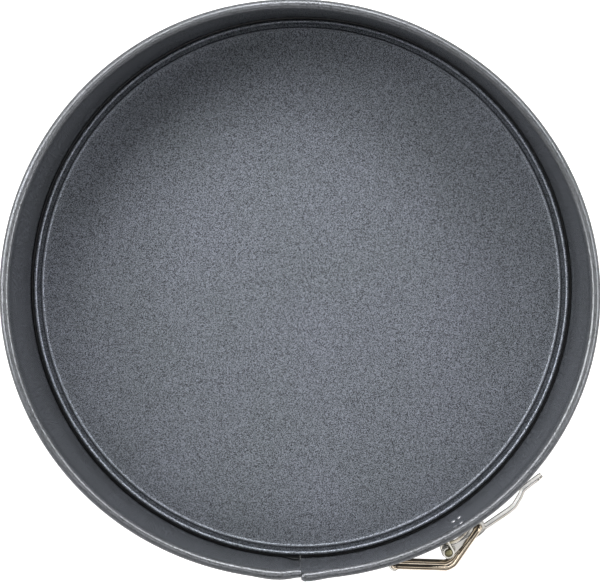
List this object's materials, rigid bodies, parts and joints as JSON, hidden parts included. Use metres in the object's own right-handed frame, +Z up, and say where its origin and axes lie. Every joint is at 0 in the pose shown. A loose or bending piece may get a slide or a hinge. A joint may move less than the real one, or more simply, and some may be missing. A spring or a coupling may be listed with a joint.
{
  "type": "springform pan",
  "caption": "Round cake pan with a loose raised base and a split band that an over-centre lever latch opens and closes.",
  "frame": {"origin": "on the pan's axis, in the plane that it rests on", "axes": "+Z up out of the open top; the seam of the band is at -Y, and the latch is to the +X side of it"},
  "size_m": [0.2352, 0.2352, 0.068],
  "materials": {
    "band_coating": "satin non-stick coating",
    "base_coating": "satin non-stick coating with a fine metallic speck",
    "bracket_plate": "bright nickel plate",
    "pin_brass": "dull",
    "lever_plate": "bright nickel plate",
    "link_plate": "bright nickel plate",
    "weld_steel": "spot weld"
  },
  "bodies": {
    "root": {"band_front_right": "band_coating", "pivot_bracket": "bracket_plate", "pivot_pin": "pin_brass", "bracket_spot_welds": "weld_steel"},
    "band_right": {"band_right_back": "band_coating"},
    "band_back": {"band_back_left": "band_coating"},
    "band_left": {"band_front_left": "band_coating", "hook_bracket": "bracket_plate", "hook_spot_welds": "weld_steel"},
    "lever": {"lever": "lever_plate"},
    "link": {"link_wire": "link_plate"},
    "base": {"base_plate": "base_coating"}
  },
  "joints": [
    {"name": "lever_turn", "type": "hinge", "parent": "root", "child": "lever", "pos_m": [0.06043, -0.10552, 0.046], "axis": [0, 0, -1], "range_deg": [0, 165]},
    {"name": "link_swing", "type": "hinge", "parent": "lever", "child": "link", "pos_m": [0.0728, -0.09573, 0.046], "axis": [0, 0, -1], "range_deg": [-139.07, 0]},
    {"name": "band_flex_right", "type": "hinge", "parent": "root", "child": "band_right", "pos_m": [0.10202, -0.0589, 0.034], "axis": [0, 0, -1], "range_deg": [0, 4.02]},
    {"name": "band_flex_back", "type": "hinge", "parent": "band_right", "child": "band_back", "pos_m": [-0.00617, 0.11764, 0.034], "axis": [0, 0, -1], "range_deg": [0, 4.02]},
    {"name": "band_flex_left", "type": "hinge", "parent": "band_back", "child": "band_left", "pos_m": [-0.10202, -0.0589, 0.034], "axis": [0, 0, -1], "range_deg": [0, 4.02]},
    {"name": "base_lift", "type": "slide", "parent": "root", "child": "base", "axis": [0, 0, 1], "range_m": [0, 0.09]}
  ],
  "couplings": [
    {"joint": "link_swing", "follows": "lever_turn", "ratio": -0.84282},
    {"joint": "band_flex_right", "follows": "lever_turn", "ratio": 0.024363},
    {"joint": "band_flex_back", "follows": "lever_turn", "ratio": 0.024363},
    {"joint": "band_flex_left", "follows": "lever_turn", "ratio": 0.024363}
  ]
}
